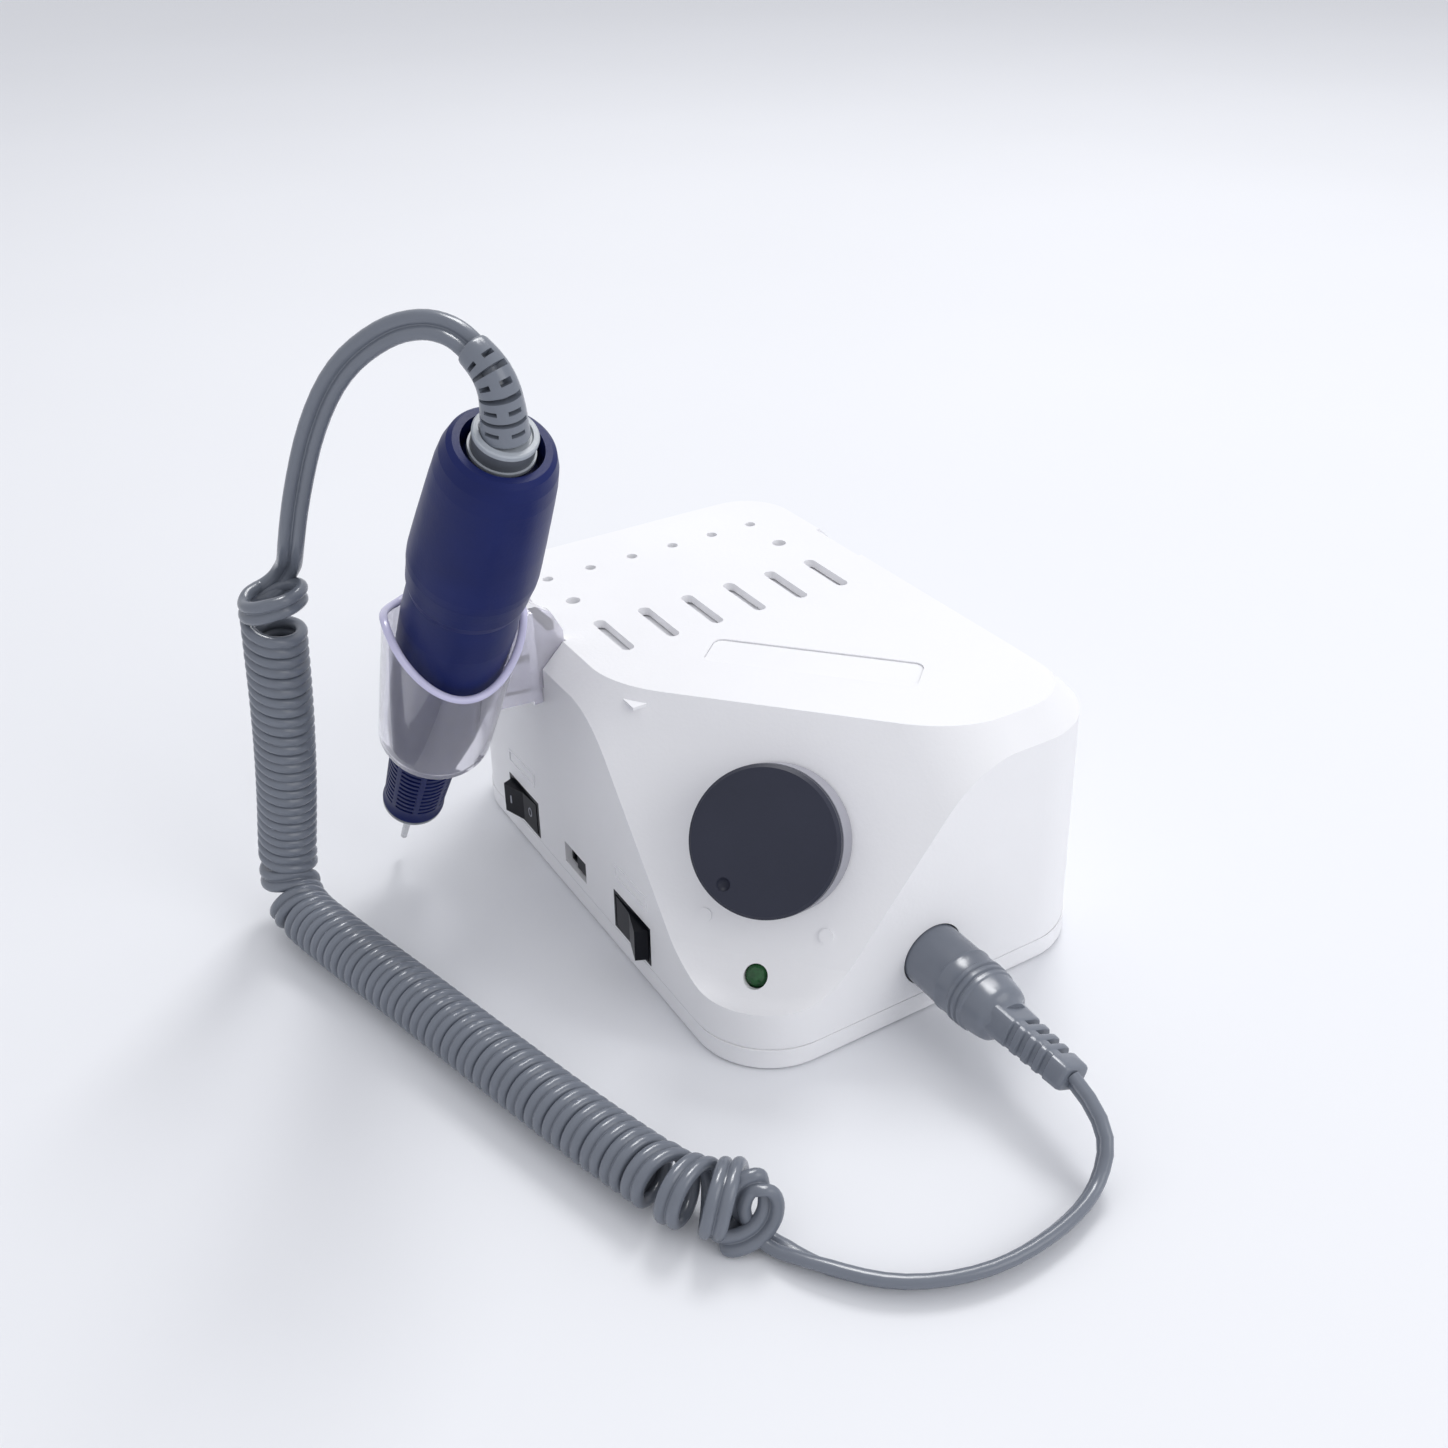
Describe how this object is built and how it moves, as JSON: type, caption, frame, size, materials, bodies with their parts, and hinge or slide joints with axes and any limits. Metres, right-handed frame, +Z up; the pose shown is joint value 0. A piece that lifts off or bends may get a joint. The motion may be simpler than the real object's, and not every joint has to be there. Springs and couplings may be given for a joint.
{
  "type": "nail drill machine",
  "caption": "Nail drill with a white control box with a sloped speed panel, rocker switches, a clear side holder and a motor handpiece on a coiled cord that plugs into the front.",
  "frame": {"origin": "middle of the footprint of the box, holder and handpiece, on the surface that the feet stand on; the cord is not counted", "axes": "+Z up, -Y out of the front with the handpiece socket, -X out of the side with the switches and the holder"},
  "size_m": [0.1828, 0.2357, 0.1736],
  "materials": {
    "white_abs": "fine spark-eroded matt",
    "white_plate": "smooth matt",
    "black_plastic": "satin black",
    "knob_charcoal": "matt charcoal",
    "knob_grey": "matt grey",
    "foot_rubber": "matt",
    "steel": "plated",
    "core_steel": "varnished laminations",
    "copper": "enamelled winding",
    "board_green": "lacquered board",
    "aluminium": "extruded",
    "lens_green": "clear tinted",
    "clear_lilac": "clear moulded",
    "navy": "semi-matt navy",
    "grey_pvc": "semi-gloss grey",
    "brass": "plain",
    "ferrite": "sintered",
    "bit_steel": "ground"
  },
  "bodies": {
    "control_box": {"top_housing": "white_abs", "bottom_tray": "white_abs", "name_plate": "white_plate", "rubber_feet": "foot_rubber", "housing_screws": "steel", "small_screws": "steel", "transformer_core": "core_steel", "transformer_winding": "copper", "transformer_strap": "steel", "control_board": "board_green", "board_capacitors": "black_plastic", "heat_sink": "aluminium", "power_transistor": "black_plastic", "mains_inlet": "black_plastic", "inlet_blades": "brass", "fuse_holder": "black_plastic", "fuse_cap": "black_plastic", "pedal_jack": "black_plastic", "speed_pot": "steel", "pot_nut": "steel", "led_lens": "lens_green", "power_switch_body": "black_plastic", "direction_switch_body": "black_plastic", "selector_switch_body": "black_plastic", "handpiece_jack": "black_plastic", "plug_shell": "grey_pvc", "plug_pins": "brass", "plug_boot": "grey_pvc", "handpiece_holder": "clear_lilac", "upper_cord": "grey_pvc", "upright_coil": "grey_pvc", "lying_coil": "grey_pvc", "lower_cord": "grey_pvc"},
    "speed_control": {"knob_shaft": "steel", "speed_knob": "knob_grey", "knob_cap": "knob_charcoal"},
    "power_toggle": {"power_rocker": "black_plastic"},
    "direction_toggle": {"direction_rocker": "black_plastic"},
    "selector": {"selector_slider": "black_plastic"},
    "handpiece": {"rear_housing": "navy", "front_sleeve": "navy", "rear_cap": "grey_pvc", "cord_boot": "grey_pvc", "motor_can": "steel", "motor_spacer": "white_plate", "motor_magnets": "ferrite", "motor_brushes": "ferrite", "motor_bearings": "brass", "quill_tube": "steel", "spindle_bearings": "steel"},
    "twist_collar": {"nose_collar": "navy", "nose_ring": "knob_grey"},
    "rotor": {"motor_shaft": "steel", "armature": "core_steel", "commutator": "brass", "coupling": "black_plastic", "spindle": "steel", "collet": "steel", "drill_bit": "bit_steel"}
  },
  "joints": [
    {"name": "speed_knob_turn", "type": "hinge", "parent": "control_box", "child": "speed_control", "pos_m": [-0.0063, -0.05613, 0.04642], "axis": [0.6272, 0.5707, -0.5299], "range_deg": [0, 288.6]},
    {"name": "power_rocker_tilt", "type": "hinge", "parent": "control_box", "child": "power_toggle", "pos_m": [-0.03064, 0.0344, 0.01307], "axis": [-0.0201, 0, -0.9998], "range_deg": [0, 22]},
    {"name": "direction_rocker_tilt", "type": "hinge", "parent": "control_box", "child": "direction_toggle", "pos_m": [-0.03064, -0.0296, 0.01307], "axis": [0.0201, 0, 0.9998], "range_deg": [0, 22]},
    {"name": "selector_slide", "type": "slide", "parent": "control_box", "child": "selector", "axis": [0, 1, 0], "range_m": [0, 0.0045]},
    {"name": "handpiece_lift", "type": "slide", "parent": "control_box", "child": "handpiece", "axis": [0.0557, -0.5045, 0.8616], "range_m": [0, 0.1], "deforming": ["upper_cord", "upright_coil"]},
    {"name": "nose_collar_twist", "type": "hinge", "parent": "handpiece", "child": "twist_collar", "pos_m": [-0.06192, 0.02987, 0.03804], "axis": [0.0557, -0.5045, 0.8616], "range_deg": [0, 40]},
    {"name": "spindle_spin", "type": "hinge", "parent": "handpiece", "child": "rotor", "pos_m": [-0.06047, 0.01675, 0.06044], "axis": [0.0557, -0.5045, 0.8616], "continuous": true}
  ]
}
